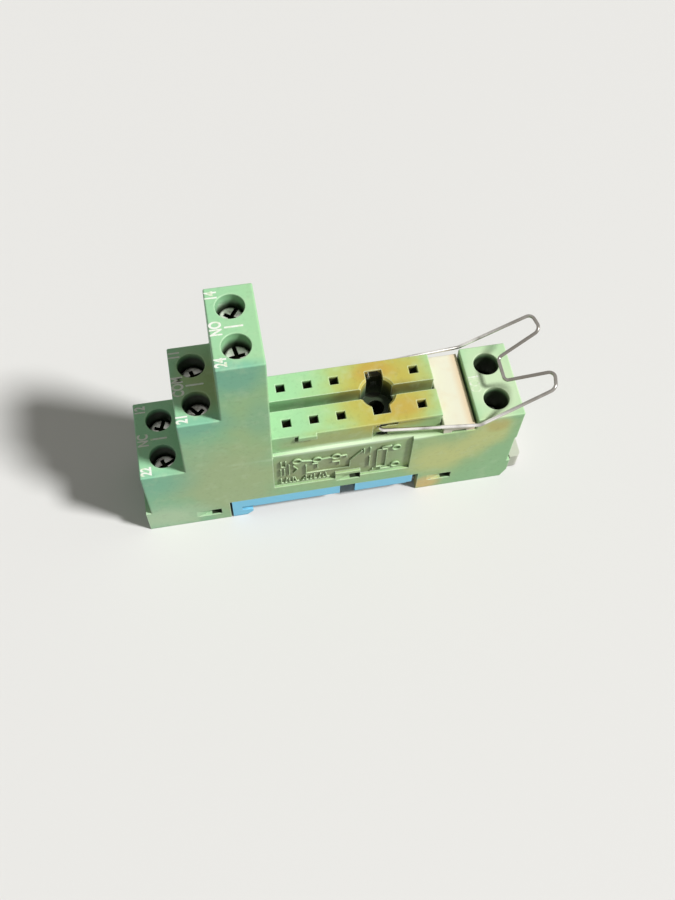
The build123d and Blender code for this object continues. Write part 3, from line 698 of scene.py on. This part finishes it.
def build_stage():
    """Pale floor, soft light and the camera at the photograph's place."""
    scene = bpy.context.scene
    half = FLOOR_SIZE * MM / 2
    z = cad_box[0][2]
    mesh = bpy.data.meshes.new("floor")
    corners = [(-half, -half, z), (half, -half, z), (half, half, z), (-half, half, z)]
    mesh.from_pydata(corners, [], [(0, 1, 2, 3)])
    floor = bpy.data.objects.new("floor", mesh)
    scene.collection.objects.link(floor)
    made, tree, shader, _ = start_material("floor_pale")
    tree.links.new(mix(tree, seen_mask(tree), FLOOR_BOUNCE, FLOOR_COLOUR), shader.inputs["Base Color"])
    shader.inputs["Roughness"].default_value = FLOOR_ROUGH
    mesh.materials.append(made)

    aimed_light("key", "SUN", KEY_PLACE, KEY_POWER).angle = math.radians(KEY_SPREAD_DEG)
    aimed_light("fill", "AREA", FILL_PLACE, FILL_POWER).size = FILL_SIZE * MM
    world = bpy.data.worlds.new("studio")
    world.use_nodes = True
    sky = world.node_tree
    background = sky.nodes["Background"]
    mask = seen_mask(sky)
    strength = node(sky, "MapRange", {"Value": mask, "To Min": AMBIENT, "To Max": BACKDROP}).outputs[0]
    sky.links.new(mix(sky, mask, WORLD_COLOUR, BACKDROP_COLOUR), background.inputs[0])
    sky.links.new(strength, background.inputs[1])
    scene.world = world

    lens = bpy.data.cameras.new("camera")
    lens.lens = LENS_MM
    lens.sensor_width = SENSOR_MM
    lens.sensor_fit = "AUTO"
    lens.clip_start = CLIP_START * MM
    lens.clip_end = CLIP_END * MM
    camera = bpy.data.objects.new("camera", lens)
    scene.collection.objects.link(camera)
    camera.location = metres(CAMERA_PLACE)
    camera.rotation_euler = [math.radians(a) for a in CAMERA_TURN]
    scene.camera = camera
    scene.view_settings.view_transform = "Standard"


# Colour patches, roughness and drawing directions of the other materials
# The plate turns tan towards its right edge beside the block
PLATE_RIGHT_TAN = (((26.9, 0.0, 20.3), (1.9, 30.0, 6.0), 0.80, CREAM_AGED),)
WIRE_STAINS = (((37.0, 0.0, 30.0), (10.0, 16.0, 12.0), 0.92, WIRE_DULL),)
WIRE_ROUGH = (0.16, 0.34)
PLATED_ROUGH = (0.30, 0.50)
DRAWN_ALONG_X = (0.1, 1.0, 1.0)
DRAWN_ALONG_Z = (1.0, 1.0, 0.1)

build_stage()
green = green_plastic()
ink = print_ink("printed_white", least=0.50, most=0.72)
faint_ink = print_ink("printed_white_worn", least=0.30, most=0.55)
heads = [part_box(name) for name in sorted(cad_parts) if name.startswith("screw")]
blue = plain_plastic("base_blue_moulding", BLUE, BLUE_AGED, BLUE_PALE, patch_mm=6.0,
                     boxes=SHADE_PAINTED_NOTCH + SHADE_PAINTED_WINDOWS)
white = plain_plastic("latch_off_white", OFF_WHITE, OFF_WHITE_AGED, OFF_WHITE, patch_mm=4.0)
cream = plain_plastic("marker_cream_plate", CREAM, CREAM_AGED, CREAM, patch_mm=5.0, corner_shade=0.25,
                      stains=PLATE_RIGHT_TAN)
wire = metal("clip_spring_wire", WIRE_STEEL, WIRE_DULL, patch_mm=5.0, rough=WIRE_ROUGH, stretch=ALL_WAYS,
             corner_shade=0.0, stains=WIRE_STAINS)
plated = metal("screw_plated", STEEL, STEEL_DULL, patch_mm=1.1, rough=PLATED_ROUGH, stretch=ALL_WAYS,
               corner_shade=0.2, slot_shade_boxes=heads, dent_mm=0.05)
clamped = metal("clamp_plated", STEEL, STEEL_DULL, patch_mm=2.5, rough=PLATED_ROUGH, stretch=DRAWN_ALONG_Z,
                corner_shade=0.5)
brass = metal("contact_brass_strip", BRASS, BRASS_DULL, patch_mm=2.5, rough=PLATED_ROUGH,
              stretch=DRAWN_ALONG_X, corner_shade=0.5)
paint("housing", green)
paint("rail_base", blue)
paint("rail_latch", white)
paint("marker_plate", cream)
paint("retaining_clip", wire)
paint("screw", plated)
paint("clamp", clamped)
paint("contact", brass)
panel_diagram(green)
for step, left_x, top, back, middle, front in STEP_MARKS:
    foot_x = left_x + MARK_FOOT
    back_mark = letters(back, foot_x, MARK_BACK_Y, top)
    add_object(f"mark_{step}_back", back_mark, ink, "housing")
    centre = [letters(middle, foot_x, MARK_MIDDLE_Y, top), dash(left_x + DASH_FOOT, MARK_MIDDLE_Y, top)]
    add_object(f"mark_{step}_middle", joined("mark", centre), ink, "housing")
    front_mark = letters(front, foot_x, MARK_FRONT_Y, top)
    add_object(f"mark_{step}_front", front_mark, ink, "housing")
coil_mark = letters("COIL", BLOCK_X + MARK_FOOT, 0.0, BLOCK_TOP)
add_object("mark_coil", coil_mark, faint_ink, "housing")
